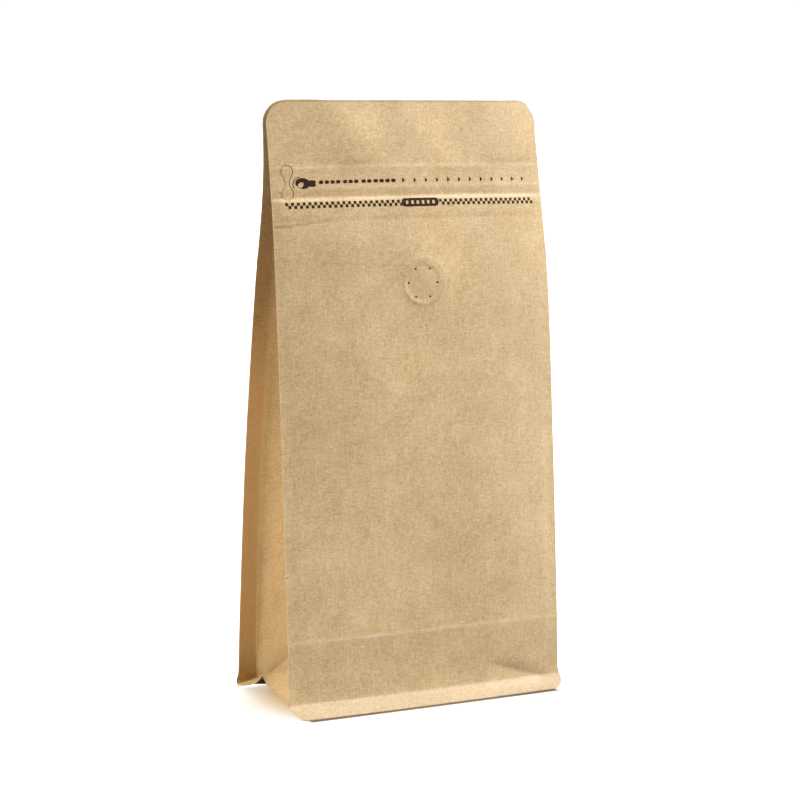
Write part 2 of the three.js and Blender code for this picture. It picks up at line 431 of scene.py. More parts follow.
# the valve disc's paper is the same kraft painted a little darker, as painted shade, with its own grain and
# roughness
valveShadedLook = {
    **kraftLook,
    "dark": (0.45, 0.295, 0.129, 1),
    "light": (0.672, 0.497, 0.276, 1),
    "grainScale": 1250.0,
    "roughness": 0.74,
}
# the cut edges get a paler paper, partly the paper's own pale edge and partly painted highlight
edgeLook = {
    **kraftLook,
    "dark": (0.66, 0.49, 0.30, 1),
    "light": (0.84, 0.68, 0.47, 1),
    "grainScale": 2400.0,
    "fleckStrength": 0.2,
    "bump": 0.2,
}
inkLook = {
    "dark": (0.022, 0.009, 0.004, 1),
    "light": (0.052, 0.024, 0.013, 1),
    "spread": 0.15,
    "wornAndLit": (0.14, 0.08, 0.045, 1),
    "thinFrom": 0.58,
    "thinFull": 0.68,
    "thinMost": 0.6,
    "grainScale": 900.0,
    "roughness": 0.65,
    "roughSpread": 0.07,
    "bump": 0.3,
    "bumpDistance": 0.0001,
    "specular": 0.1,
}
kraftPaper = paperMaterial("kraftPaper", kraftLook)
gussetShadedPaper = paperMaterial("gussetShadedPaper", gussetShadedLook)
valveShadedPaper = paperMaterial("valveShadedPaper", valveShadedLook)
paperEdge = paperMaterial("paperEdge", edgeLook)
brownInk = inkMaterial("brownInk", inkLook)
print("materials made")

# ---- front panel
frontPanel = {
    # shares of the half width, then heights: from, to, pitch
    "columns": [(-1.0, -0.99, 0.005), (-0.99, -0.14, 0.0185), (-0.14, 0.25, 0.0092), (0.25, 1.0, 0.0185)],
    "rows": [
        (0, 8, 0.5), (8, 18, 0.9), (18, 31, 1.4), (31, 36, 0.5), (36, 173, 1.9), (173, 200, 0.62),
        (200, 209, 0.9), (209, 240, 0.5), (240, 262, 1.2), (262, 264.4, 0.4),
    ],
    "topStep": 0.6,
    "rightFlare": 1.3,  # the base band runs out this far at its right end
    "flareHeights": (10, 3),
    "edgeHold": 6,  # the relief dies out this near the side edges
    # relief across the zip and its creases: height, how far it stands out
    "zipSteps": [
        (160, 0), (185, 0.28), (205, 0.6), (212.8, 0.78), (214.4, 0.76), (216.4, 0.92), (218.6, 0.98),
        (220.4, 1.0), (221.5, 0.94), (222.5, 0.8), (223.1, 0.62), (223.9, 0.12), (224.4, 0.0), (226, 0.16),
        (227.4, 0.31), (228.2, 0.33), (229.4, 0.22), (230.4, 0.2), (233.2, 0.2), (234.3, 0.21), (235.6, 0.28),
        (236.8, 0.29), (237.8, 0.13), (240, 0.04), (244, 0), (265, 0),
    ],
    "zipAtEdge": 0.25,
    # the low crease and the hollow above the base band
    "lowSteps": [
        (0, 0), (3, -0.2), (6.3, -0.5), (7.5, -0.6), (10, -0.68), (14, -0.66), (20, -0.5), (26, -0.22),
        (30, -0.02), (32.4, 0.09), (33.2, 0.08), (34.6, -0.02), (40, -0.04), (60, 0), (265, 0),
    ],
    "lowAtEdge": 0.4,
    # soft bulges: side, height, reach across, reach up, turn, how far out
    "bulges": [
        (-38, 204, 15, 12, 0.3, 1.0),  # under the zip, on the left
        (3, 194, 15, 24, 0.4, 1.4),  # around the valve
        (44, 200, 14, 30, 0, 0.8),
        (-30, 140, 24, 45, -0.15, 2.4),  # the broad belly, to the left
        (40, 75, 25, 50, 0, 2.0),
        (-45, 45, 22, 30, 0, 1.0),
    ],
    "bulgeHold": 9,
    "bulgeSpans": ((5, 16), (250, 226)),
    # dents beside the base band: from, to, depth, reach above, reach below
    "dents": [
        ((60, 5.6), (28, 15.8), 0.85, 2.6, 6.0),
        ((-64, 5.6), (-56, 10.5), 0.25, 3.0, 3.0),
    ],
    "dentSpans": ((-0.1, 0.08), (1.15, 0.6)),
    "dentFoot": (2, 6),
    "dentTop": 30,
    "dentRound": 0.2,
    # a fine wrinkle in from the left edge under the zip
    "wrinkle": [
        (-66.5, 211.1), (-60.6, 211.3), (-57.8, 212.0), (-54.5, 212.1), (-51.4, 212.7), (-45, 213.2),
        (-39, 214.2),
    ],
    "wrinkleDepth": 0.18,
    "wrinkleReach": 0.5,
    "wrinkleFade": 12,
    "wrinkleRange": (206, 218),
    "sealLine": 61.5,
    "sealRelief": 0.05,
    "sealReach": 0.9,
    "sealHeights": (200, 150),
    "ripples": [(14, 18, 0.7, 0.14), (6, 8, 5.3, 0.045)],
    "rippleFrom": (0, 12),
    # the left edge is painted paler, partly its pale cut edge and partly painted highlight; the bottom row is
    # painted dark as a contact shadow
    "paleEdgeAndHighlight": 0.9,
    "footShadow": 2.2,
}
valveSeat = {
    "side": -0.4,
    "height": 186.4,
    "radius": 10.2,
    "reach": 14,
    "lean": (0.5, 0.6),  # the outer ring sits this far right of the pinholes and above them
    "leanFrom": (8, 10),
    # the paper over the valve: distance from its middle, how far it stands out
    "profile": [
        (0, -0.06), (6.6, -0.06), (7.6, -0.03), (8.2, 0.15), (8.8, 0.22), (9.8, 0.22), (10.3, 0.27),
        (10.8, 0.1), (13.5, 0),
    ],
    "gap": 0.07,
    "ringSteps": 96,
    "pinholeCircle": 7.0,
    "pinholeRadius": 0.5,
    "pinholeDepth": 3.0,
    "pinholes": 6,
}


def dentDepth(dent, side, z):
    (side0, z0), (side1, z1), depth, above, below = dent
    run, rise = side1 - side0, z1 - z0
    length = math.hypot(run, rise)
    share = ((side - side0) * run + (z - z0) * rise) / length**2
    off = (z - z0) * run / length - (side - side0) * rise / length
    if run < 0:
        off = -off
    ends = between(share, *frontPanel["dentSpans"])
    reach = above if off > 0 else below
    rounded = math.hypot(off, frontPanel["dentRound"]) - frontPanel["dentRound"]
    return depth * ends * math.exp(-rounded / reach) * smooth(*frontPanel["dentFoot"], z)


def wrinkleAt(side, z):
    line, (lowest, highest) = frontPanel["wrinkle"], frontPanel["wrinkleRange"]
    lastSide = line[-1][0]
    if side > lastSide or not lowest < z < highest:
        return 0.0
    off = (z - straight(line, side)) / frontPanel["wrinkleReach"]
    return math.exp(-off * off) * smooth(lastSide, lastSide - frontPanel["wrinkleFade"], side)


def valveRelief(side, z):
    x, y = side - valveSeat["side"], z - valveSeat["height"]
    out = math.hypot(x, y)
    if out >= valveSeat["reach"]:
        return 0.0
    shift = smooth(*valveSeat["leanFrom"], out)
    leanX, leanZ = valveSeat["lean"]
    return along(valveSeat["profile"], math.hypot(x - leanX * shift, y - leanZ * shift))


def frontRelief(side, z):
    inward = heldIn(side, frontPanel["edgeHold"])
    atZip = z - zipSag(side) * between(z, *zipLine["spans"])
    relief = along(frontPanel["zipSteps"], atZip) * partly(frontPanel["zipAtEdge"], inward)
    relief += along(frontPanel["lowSteps"], z) * partly(frontPanel["lowAtEdge"], inward) + mouthWave(side, z)
    body = between(z, *frontPanel["bulgeSpans"])
    relief += heldIn(side, frontPanel["bulgeHold"]) * body * bulgeSum(frontPanel["bulges"], side, z)
    if z < frontPanel["dentTop"]:
        for dent in frontPanel["dents"]:
            relief -= dentDepth(dent, side, z)
    relief -= frontPanel["wrinkleDepth"] * wrinkleAt(side, z)
    fromSeal = (abs(side) - frontPanel["sealLine"]) / frontPanel["sealReach"]
    relief += frontPanel["sealRelief"] * math.exp(-fromSeal**2) * smooth(*frontPanel["sealHeights"], z)
    relief += valveRelief(side, z)
    ripple = rippleSum(frontPanel["ripples"], side, z)
    return relief + ripple * inward * smooth(*frontPanel["rippleFrom"], z)


def frontSkin(side, z):
    edge, _, bow, _ = heightValues(z)
    return edge - bow * crown(side) - frontRelief(side, z) + mouthPinch(side, z)


# how pale (above 0) or dark (below 0) the front panel is painted: mostly painted light and painted shade,
# with paler worn creases
wearAndLight = {
    # lines: height, strength, spread; pale crease lines, partly crease wear and partly painted highlight, the
    # strongest a painted highlight on the zip's ridge, and one dark line of painted shade below the zip
    "lines": [
        (237.2, 0.45, 0.5), (228.6, 0.25, 0.6), (223.5, 0.9, 0.5), (33.4, 0.75, 0.7), (214.8, -0.35, 0.6),
        (5.9, 0.25, 0.5),
    ],
    "lineEnd": 3,
    "sagAbove": 205,
    "patches": 8,
    "patchSeed": 1.9,
    "patchMiddle": 0.6,
    "patchSwing": 1.3,
    # painted shade along the wrinkle
    "wrinkle": 0.9,
    # the base band is painted paler, as painted light on its up-facing flare
    "band": 0.42,
    "bandTop": (7, 6),
    # painted light on the right side and painted shade on the left
    "sides": [(10, 58, 0.13), (-25, -60, -0.06)],  # from, to, strength
    "seal": 0.25,
    "sealReach": 0.5,
    "sealSpans": ((6, 12), (60, 35)),
}


def wearAndLightAt(side, z):
    wornAndLit = 0.0
    sag = zipSag(side) if z > wearAndLight["sagAbove"] else 0.0
    # pale crease lines, partly crease wear and partly painted highlight, and one dark line of painted shade
    for height, strength, spread in wearAndLight["lines"]:
        off = (z - sag - height) / spread
        if abs(off) < wearAndLight["lineEnd"]:
            patch = noise.noise(Vector((side / wearAndLight["patches"], height, wearAndLight["patchSeed"])))
            wornAndLit += strength * (wearAndLight["patchMiddle"] + wearAndLight["patchSwing"] * patch) * math.exp(-off * off)
    # painted shade along the wrinkle, painted light on the base band, painted light on the right and painted
    # shade on the left
    wornAndLit -= wearAndLight["wrinkle"] * wrinkleAt(side, z)
    wornAndLit += wearAndLight["band"] * smooth(*wearAndLight["bandTop"], z)
    wornAndLit += sum(strength * smooth(start, end, side) for start, end, strength in wearAndLight["sides"])
    fromSeal = (abs(side) - frontPanel["sealLine"]) / wearAndLight["sealReach"]
    return wornAndLit + wearAndLight["seal"] * math.exp(-fromSeal**2) * between(z, *wearAndLight["sealSpans"])


frontColumns = gridLines(frontPanel["columns"])
frontRows = gridLines(frontPanel["rows"])


def frontPlace(column, row):
    z, share = frontRows[row], frontColumns[column]
    corner = pouch["rightBaseCorner"] if share > 0 else pouch["frontBaseCorner"]
    widest = halfWidth(towardsTop(z, frontPanel["topStep"]), corner)
    if share > 0:
        widest += frontPanel["rightFlare"] * smooth(*frontPanel["flareHeights"], z) * share**2
    side = share * widest
    return frontX + side, frontSkin(side, z), z + mouthLift(side, z)


def frontWearAndLight(column, row):
    wornAndLit = wearAndLightAt(frontColumns[column] * halfPanel, frontRows[row])
    # a pale left edge, partly cut edge and partly painted highlight, and a painted contact shadow along the
    # bottom row
    if column == 0:
        wornAndLit += frontPanel["paleEdgeAndHighlight"]
    return wornAndLit - frontPanel["footShadow"] if row == 0 else wornAndLit


front = addSheet("frontPanel", len(frontColumns) - 1, len(frontRows) - 1, frontPlace, frontWearAndLight)
thicken(front)
print("front panel shaped")


def frontSeat(side, z, reach=4.0):
    across = (frontSkin(side + reach, z) - frontSkin(side - reach, z)) / (2 * reach)
    upward = (frontSkin(side, z + reach) - frontSkin(side, z - reach)) / (2 * reach)
    right = Vector((1, across, 0)).normalized()
    outward = right.cross(Vector((0, upward, 1))).normalized()
    up = outward.cross(right)
    seat = Matrix((right, up, outward)).transposed().to_4x4()
    seat.translation = Vector((frontX + side, frontSkin(side, z), z)) * mm
    return seat


def addRingCutter(outline, seat, gap, depth=3.0):
    bpy.ops.object.select_all(action="DESELECT")
    bpy.ops.mesh.primitive_circle_add(vertices=len(outline), radius=1, fill_type="NOTHING")
    cutter = bpy.context.active_object
    for vertex, (x, y) in zip(cutter.data.vertices, outline):
        vertex.co = (x * mm, y * mm, -depth / 2 * mm)
    editAll(bpy.ops.mesh.extrude_region_move, TRANSFORM_OT_translate={"value": (0, 0, depth * mm)})
    wall = cutter.modifiers.new("wall", "SOLIDIFY")
    wall.thickness = gap * mm
    wall.offset = 0
    applyModifier(cutter, wall)
    editAll(bpy.ops.mesh.normals_make_consistent, inside=False)
    cutter.data.transform(seat)
    return cutter


def cutAway(piece, cutter):
    for polygon in cutter.data.polygons:
        polygon.material_index = 1
    cut = piece.modifiers.new("cut", "BOOLEAN")
    cut.operation = "DIFFERENCE"
    cut.solver = "MANIFOLD"
    cut.object = cutter
    applyModifier(piece, cut)
    bpy.data.objects.remove(cutter)


def circleOutline(radius, count):
    turns = [2 * math.pi * i / count for i in range(count)]
    return [(radius * math.cos(turn), radius * math.sin(turn)) for turn in turns]


# tear tab: two round lobes with a waist between them
pullTab = {
    "side": -59.4,
    "height": 230.1,
    "lobeRadius": 2.65,
    "lobeSpacing": 9.6,
    "waist": 1.9,
    "lean": math.pi / 5,
    "gap": 0.32,
}


def tabOutline():
    radius, lobe = pullTab["lobeRadius"], pullTab["lobeSpacing"] / 2
    lean, arcSteps, waistSteps = pullTab["lean"], 28, 10
    waist = pullTab["waist"] - radius * math.cos(lean)
    points = []
    for half in (1, -1):
        for i in range(arcSteps + 1):
            turn = -lean + (math.pi + 2 * lean) * i / arcSteps
            points.append((half * radius * math.cos(turn), half * (lobe + radius * math.sin(turn))))
        startX, startY = points[-1]
        for i in range(1, waistSteps):
            t = i / waistSteps
            inX = ((1 - t) ** 2 + t**2) * startX - half * 2 * t * (1 - t) * waist
            points.append((inX, startY * (1 - 2 * t)))
    return points


tabSeat = frontSeat(pullTab["side"], pullTab["height"])
roundSeat = frontSeat(valveSeat["side"], valveSeat["height"])
for material in (kraftPaper, paperEdge):
    front.data.materials.append(material)
cutAway(front, addRingCutter(tabOutline(), tabSeat, pullTab["gap"]))
leanX, leanZ = valveSeat["lean"]
ringOutline = [(x + leanX, y + leanZ) for x, y in circleOutline(valveSeat["radius"], valveSeat["ringSteps"])]
cutAway(front, addRingCutter(ringOutline, roundSeat, valveSeat["gap"]))
pinRadius, pinDepth = valveSeat["pinholeRadius"] * mm, valveSeat["pinholeDepth"] * mm
for x, y in circleOutline(valveSeat["pinholeCircle"], valveSeat["pinholes"]):
    bpy.ops.object.select_all(action="DESELECT")
    bpy.ops.mesh.primitive_cylinder_add(vertices=20, radius=pinRadius, depth=pinDepth)
    pin = bpy.context.active_object
    pin.data.transform(roundSeat @ Matrix.Translation(Vector((x, y, 0)) * mm))
    cutAway(front, pin)

makeActive(front)
editAll(bpy.ops.mesh.separate, type="LOOSE")
parts = sorted(bpy.context.selected_objects, key=lambda part: -part.dimensions.z)
front, disc, tab = parts
front.name = front.data.name = "frontPanel"
disc.name = disc.data.name = "valveDisc"
tab.name = tab.data.name = "pullTab"
finishPiece(front, [kraftPaper, paperEdge], ["pouch"])
finishPiece(disc, [valveShadedPaper, paperEdge], ["valve"])
finishPiece(tab, [kraftPaper, paperEdge], ["pull_tab"])
print("valve and tab cut out of the front panel")

# ---- back panel
backPanel = {
    "columns": [(-1.0, 1.0, 0.025)],
    "rows": [
        (0, 8, 0.7), (8, 31, 2.0), (31, 36, 0.7), (36, 209, 2.6), (209, 240, 0.7), (240, 262, 1.6),
        (262, 265, 0.5),
    ],
    "edgeHold": 6,
    # shares of the front panel's creases and of its painted light, painted shade and wear
    "zipShare": 0.55,
    "lowShare": 0.6,
    "wearAndLightShare": 0.8,
    "ripples": [(30, 38, 11.7, 0.9), (10, 14, 15.1, 0.08)],
    "rippleSpans": ((0, 14), (262, 235)),
    # the left corner of the base curls up and back
    "curlUp": 1.4,
    "curlBack": 0.9,
    "curlSides": (-46, -66),
    "curlHeights": (16, 0),
    # at the top corners the back panel peeks out past the front one
    "peekOut": 0.3,
    "peekHeights": (236, 256),
    "peekUp": 0.3,
    "leftPeek": (-38, -46),
    "rightPeek": (46, 54),
    "rightShare": 0.5,
    "peekUpHeights": (225, 262),
}
backColumns = gridLines(backPanel["columns"])
backRows = gridLines(backPanel["rows"])


def backRelief(side, z):
    inward = heldIn(side, backPanel["edgeHold"])
    relief = backPanel["zipShare"] * along(frontPanel["zipSteps"], z) * inward
    low = along(frontPanel["lowSteps"], z) * partly(frontPanel["lowAtEdge"], inward)
    relief += backPanel["lowShare"] * low
    ripple = rippleSum(backPanel["ripples"], side, z)
    return relief + ripple * inward * between(z, *backPanel["rippleSpans"])


def backSkin(side, z):
    _, edge, _, bow = heightValues(z)
    return edge - bow * crown(side) + backRelief(side, z) - mouthWave(side, z) - mouthPinch(side, z)


def backPlace(column, row):
    z = backRows[row]
    side = -backColumns[column] * halfWidth(z, pouch["backBaseCorner"])
    low = smooth(*backPanel["curlHeights"], z)
    curled = smooth(*backPanel["curlSides"], side)
    outward = 1 + backPanel["peekOut"] / halfPanel * smooth(*backPanel["peekHeights"], z)
    peeking = smooth(*backPanel["leftPeek"], side)
    peeking += backPanel["rightShare"] * smooth(*backPanel["rightPeek"], side)
    rise = backPanel["peekUp"] * peeking * smooth(*backPanel["peekUpHeights"], z)
    lifted = z + backPanel["curlUp"] * curled * low + rise + mouthLift(side, z)
    return backX(z) + side * outward, backSkin(side, z) + backPanel["curlBack"] * curled * low**2, lifted


# the back panel takes the front panel's painted light, painted shade and wear, mirrored and weaker
def backWearAndLight(column, row):
    return backPanel["wearAndLightShare"] * wearAndLightAt(-backColumns[column] * halfPanel, backRows[row])


back = addSheet("backPanel", len(backColumns) - 1, len(backRows) - 1, backPlace, backWearAndLight)
thicken(back)
finishPiece(back, [kraftPaper, paperEdge], ["pouch"])
print("back panel shaped")

# ---- gussets
gusset = {
    # share of the way from the front edge to the back one, and the height there
    "cutHeights": [
        (0, 6.5), (0.13, 7.5), (0.31, 9.5), (0.415, 11.3), (0.475, 13.2), (0.5, 13.7), (0.53, 12.0),
        (0.59, 9.6), (0.67, 7.2), (0.815, 4.5), (1, 1.5),
    ],
    "foldHeights": [(0, 20.8), (0.5, 14.2), (0.59, 10.6), (0.7, 8.3), (0.85, 5.7), (1, 2.9)],
    "flapOut": [(0, 0), (0.25, 0.7), (0.5, 0), (0.65, 0.5), (0.85, 0.8), (1, 0.3)],  # of the cut edge
    "tuck": 1.2,  # how far the back half is tucked in above its flap
    "tuckReach": 3.0,
    "frontTuck": 0.8,  # and the front half above its own
    "peakIn": 1.1,
    "top": 264.6,
    "topStep": 0.4,
    "edgeIn": 0.12,
    "finLeast": 0.4,
    "mouthFrom": 195,
    "cornerShares": [0, 0.1, 0.5, 0.9, 1],  # front edge, front fin, fold, back fin, back edge
    "corner": 0.012,
    "sway": 1.1,
    "swaySeed": 21.3,
    "swaySpans": ((14, 40), (262, 220)),
    "flapRows": 7,
    "columns": [(0, 0.12, 0.02), (0.12, 0.46, 0.03), (0.46, 0.54, 0.01), (0.54, 0.88, 0.03), (0.88, 1, 0.02)],
    "shares": [(0, 0.12, 0.006), (0.12, 0.9, 0.013), (0.9, 1, 0.006)],
}
# how pale or dark each part of a gusset is painted: painted light on its fins and up-facing flaps, painted
# shade high up, low down, in the fold's groove and at the foot of the back half, and pale cut edges and front
# fold lines, partly the paper's own and partly painted highlight
gussetWearAndLight = {
    "fin": 0.6,
    "flap": 0.2,
    "backFlap": 0.5,
    "cutEdge": 1.0,
    "frontFold": 0.3,
    "upperShade": 0.5,
    "lowShade": 0.35,
    "groove": 0.5,
    "foot": 1.4,
    "footReach": 0.025,
    "grooveReach": 0.02,
    # shares of the way across or up over which each of these comes in
    "finSpan": (0.12, 0.1),
    "backFlapSpan": (0.75, 0.9),
    "upperSpan": (0.5, 0.72),
    "lowSpan": (0.3, 0.1),
    "grooveSpan": (0.12, 0.02),
}


def foldDepth(z):
    frontY, backY, _, _ = heightValues(z)
    halfGap = (backY - frontY) / 2
    folded = pouch["fin"] + math.sqrt(max(0.0, pouch["gussetHalf"] ** 2 - halfGap**2))
    return min(folded, 1 + pouch["foldRise"] * max(0.0, z - pouch["archHeight"]))


@lru_cache(maxsize=None)
def gussetCorners(z, right):
    widest = halfWidth(towardsTop(z, gusset["topStep"]), 0) if z > pouch["upper"] else halfPanel
    edge = widest - gusset["edgeIn"]
    finEnd = min(halfPanel - pouch["seal"], edge - gusset["finLeast"])
    foldSide = halfPanel - foldDepth(z)
    foldX = (frontX + backX(z)) / 2 + right * foldSide
    foldY = (frontSkin(right * foldSide, z) + backSkin(right * foldSide, z)) / 2
    return [
        Vector((frontX + right * edge, frontSkin(right * edge, z) + twoPlies, z)),
        Vector((frontX + right * finEnd, frontSkin(right * finEnd, z) + twoPlies, z)),
        Vector((foldX, foldY, z)),
        Vector((backX(z) + right * finEnd, backSkin(right * finEnd, z) - twoPlies, z)),
        Vector((backX(z) + right * edge, backSkin(right * edge, z) - twoPlies, z)),
    ]


def gussetLine(t, z, right):
    corners, shares = gussetCorners(z, right), gusset["cornerShares"]
    for share0, share1, start, end in zip(shares, shares[1:], corners, corners[1:]):
        if t <= share1:
            return start.lerp(end, (t - share0) / (share1 - share0))
    return corners[-1]


def keepBetween(point, behindFront, beforeBack):  # these far in from the front and back panels
    nearest = frontSkin(point.x - frontX, point.z) + behindFront
    farthest = backSkin(point.x - backX(point.z), point.z) - beforeBack
    point.y = min(max(point.y, nearest), farthest)
    return point


def gussetSkin(t, z, right):
    step = min(gusset["corner"], t, 1 - t)
    before, here, after = [gussetLine(share, z, right) for share in (t - step, t, t + step)]
    point = (before + 2 * here + after) / 4
    half = abs(t - 0.5) / 0.5
    if 0 < half < 1:
        tuck = gusset["tuck"] if t > 0.5 else gusset["frontTuck"]
        above = max(0.0, z - straight(gusset["foldHeights"], t))
        point.x -= right * tuck * math.sin(math.pi * half) ** 0.7 * math.exp(-above / gusset["tuckReach"])
        sway = noise.noise(Vector((t * 3, z / 45, gusset["swaySeed"] + right))) * gusset["sway"]
        point.x += right * sway * math.sin(math.pi * half) * between(z, *gusset["swaySpans"])
    if z <= gusset["mouthFrom"]:
        return point
    apart = 2 * pouch["layerGap"]  # between the pressed panels each half keeps to its own side
    return keepBetween(point, twoPlies + (apart if t > 0.5 else 0), twoPlies + (0 if t > 0.5 else apart))


def cutEdge(t, right):
    z = along(gusset["cutHeights"], t)
    frontPoint = gussetCorners(gusset["cutHeights"][0][1], right)[0]
    backPoint = gussetCorners(gusset["cutHeights"][-1][1], right)[-1]
    peak = Vector((frontX + right * (halfPanel - gusset["peakIn"]), pouch["mouthY"] + pouch["archSide"], z))
    point = frontPoint.lerp(peak, 2 * t) if t <= 0.5 else peak.lerp(backPoint, 2 * t - 1)
    return Vector((point.x + right * along(gusset["flapOut"], t), point.y, z))


gussetColumns = gridLines(gusset["columns"])
gussetShares = gridLines(gusset["shares"])


def addGusset(name, right):
    columns, flapRows = len(gussetColumns) - 1, gusset["flapRows"]
    rows = flapRows + len(gussetShares) - 1

    def place(column, row):
        t = gussetColumns[column] if right > 0 else gussetColumns[columns - column]
        foldZ = straight(gusset["foldHeights"], t)
        if row >= flapRows:
            z = foldZ + (gusset["top"] - foldZ) * gussetShares[row - flapRows]
            return gussetSkin(t, z, right)
        return cutEdge(t, right).lerp(gussetSkin(t, foldZ, right), row / flapRows)

    def wornAndLit(column, row):
        t = gussetColumns[column] if right > 0 else gussetColumns[columns - column]
        if row < flapRows:
            # painted light on the up-facing flaps; a pale cut edge, partly the paper's own edge and partly
            # painted highlight
            pale = gussetWearAndLight["flap"] + gussetWearAndLight["backFlap"] * smooth(*gussetWearAndLight["backFlapSpan"], t)
            return pale + gussetWearAndLight["cutEdge"] if row == 0 else pale
        # painted light on the fins, painted shade high up, low down, in the fold's groove and at the foot of
        # the back half, and a pale front fold line, partly crease wear and partly painted highlight
        onFin = smooth(*gussetWearAndLight["finSpan"], min(t, 1 - t))
        high = gussetShares[row - flapRows]
        upper = smooth(*gussetWearAndLight["upperSpan"], high)
        pale = gussetWearAndLight["fin"] * onFin * (1 - upper) - gussetWearAndLight["upperShade"] * upper
        pale -= gussetWearAndLight["lowShade"] * smooth(*gussetWearAndLight["lowSpan"], high) * (1 - onFin)
        inGroove = math.exp(-((t - 0.5) / gussetWearAndLight["grooveReach"]) ** 2)
        pale -= gussetWearAndLight["groove"] * inGroove * smooth(*gussetWearAndLight["grooveSpan"], high)
        if t > 0.5 and row > flapRows:
            pale -= gussetWearAndLight["foot"] * math.exp(-high / gussetWearAndLight["footReach"])
        if t < 0.5 and row == flapRows:
            pale += gussetWearAndLight["frontFold"]
        return pale

    sheet = addSheet(name, columns, rows, place, wornAndLit)
    thicken(sheet)
    finishPiece(sheet, [gussetShadedPaper, paperEdge], ["pouch"], angle=50)


addGusset("gussetLeft", -1)
addGusset("gussetRight", 1)
print("gussets shaped")

# ---- base panel
basePanel = {
    "lower": 0.45,
    "edgeDown": 0.35,
    "inner": 0.2,
    "bandFoot": 0.25,
    "bandIn": 0.15,
    "sunk": 0.3,
    "clear": 0.3,  # above the floor
    "intoFlap": 0.9,
    "flapReach": 4.0,
    "flapColumns": 6,
    "middleColumns": 36,
    "bandRows": 8,
    "riseRows": 10,
    "shares": [(0, 0.44, 0.03), (0.44, 0.56, 0.015), (0.56, 1, 0.03)],
}
baseColumns = 2 * basePanel["flapColumns"] + basePanel["middleColumns"]
baseShares = gridLines(basePanel["shares"])
baseInset = twoPlies + pouch["layerGap"]


def bandPoint(inward, right, z):  # sealed inside the front band
    flaps, middles, reach = basePanel["flapColumns"], basePanel["middleColumns"], basePanel["flapReach"]
    widest = halfWidth(z, pouch["frontBaseCorner"]) - basePanel["bandIn"]
    if inward <= flaps:
        side = widest - reach * inward / flaps
    else:
        side = (widest - reach) * (1 - 2 * (inward - flaps) / middles)
    side *= right
    return Vector((frontX + side, frontSkin(side, z) + baseInset, z))


def archPoint(inward, right, t):
    flaps, middles = basePanel["flapColumns"], basePanel["middleColumns"]
    intoFlap, inner = basePanel["intoFlap"], basePanel["inner"]
    foldZ = straight(gusset["foldHeights"], t)
    outer, fold = cutEdge(t, right), gussetSkin(t, foldZ, right)
    down = Vector((-right * inner, 0, -basePanel["lower"]))
    if inward <= flaps:
        lowered = down * min(1, basePanel["edgeDown"] + inward / flaps)
        return outer.lerp(fold, intoFlap * inward / flaps) + lowered
    start = outer.lerp(fold, intoFlap) + down
    other = gussetSkin(t, foldZ, -right).lerp(cutEdge(t, -right), 1 - intoFlap)
    share = (inward - flaps) / middles
    point = start.lerp(other + Vector((right * inner, 0, -basePanel["lower"])), share)
    middleZ = straight(gusset["cutHeights"], t) - basePanel["sunk"]
    point.z += (middleZ - start.z) * math.sin(math.pi * min(share, 1 - share)) ** 0.8
    return point


def basePlace(column, row):
    right = 1 if column <= baseColumns / 2 else -1
    inward = column if right > 0 else baseColumns - column
    bands, rises = basePanel["bandRows"], basePanel["riseRows"]
    foot, top = basePanel["bandFoot"], gusset["cutHeights"][0][1]
    if row <= bands:
        return bandPoint(inward, right, foot + (top - foot) * row / bands)
    if row < bands + rises:
        lifted = bandPoint(inward, right, top).lerp(archPoint(inward, right, 0), (row - bands) / rises)
        lifted.y = -pouch["width"]  # pulled forward, onto the front panel's inside
        return keepBetween(lifted, baseInset, baseInset)
    point = archPoint(inward, right, baseShares[row - bands - rises])
    point.z = max(point.z, basePanel["clear"])
    return keepBetween(point, baseInset, baseInset)


baseRows = basePanel["bandRows"] + basePanel["riseRows"] + len(baseShares) - 1
base = addSheet("basePanel", baseColumns, baseRows, basePlace)
thicken(base)
finishPiece(base, [kraftPaper, paperEdge], ["pouch"], angle=50)
print("base shaped")

# ---- prints, laid on the front panel
printed = {"proud": 0.05, "thickness": 0.03, "drift": 1.3}


def layOnPanel(shape):
    for vertex in shape.data.vertices:
        side = vertex.co.x - printed["drift"] * crown(vertex.co.x) ** 2
        z = vertex.co.y + zipSag(side)
        vertex.co = Vector((frontX + side, frontSkin(side, z) - printed["proud"] - vertex.co.z, z)) * mm


def joinPrint(name, shapes):
    for shape in shapes:
        layOnPanel(shape)
    bpy.ops.object.select_all(action="DESELECT")
    for shape in shapes:
        shape.select_set(True)
    bpy.context.view_layer.objects.active = shapes[0]
    bpy.ops.object.join()
    whole = bpy.context.active_object
    whole.name = whole.data.name = name
    film = whole.modifiers.new("film", "SOLIDIFY")
    film.thickness = printed["thickness"] * mm
    film.offset = -1
    applyModifier(whole, film)
    finishPiece(whole, [brownInk])


def addGrid(columns, rows):
    bpy.ops.object.select_all(action="DESELECT")
    bpy.ops.mesh.primitive_grid_add(x_subdivisions=columns, y_subdivisions=rows, size=1)
    return bpy.context.active_object


def addBar(side, z, length, height, radius, columns, rows):  # a bar with round corners
    bar = addGrid(columns, rows)
    for vertex in bar.data.vertices:
        y = vertex.co.y * height
        cut = cornerCut(radius, abs(y) - (height / 2 - radius))
        vertex.co = (side + vertex.co.x * (length - 2 * cut), z + y, 0)
    return bar


def deleteFaces(grid, chosen):
    bpy.ops.object.mode_set(mode="EDIT")
    bpy.ops.mesh.select_mode(type="FACE")
    bpy.ops.mesh.select_all(action="DESELECT")
    bpy.ops.object.mode_set(mode="OBJECT")
    for face in grid.data.polygons:
        face.select = chosen(face.center)
    bpy.ops.object.mode_set(mode="EDIT")
    bpy.ops.mesh.delete(type="FACE")
    bpy.ops.object.mode_set(mode="OBJECT")


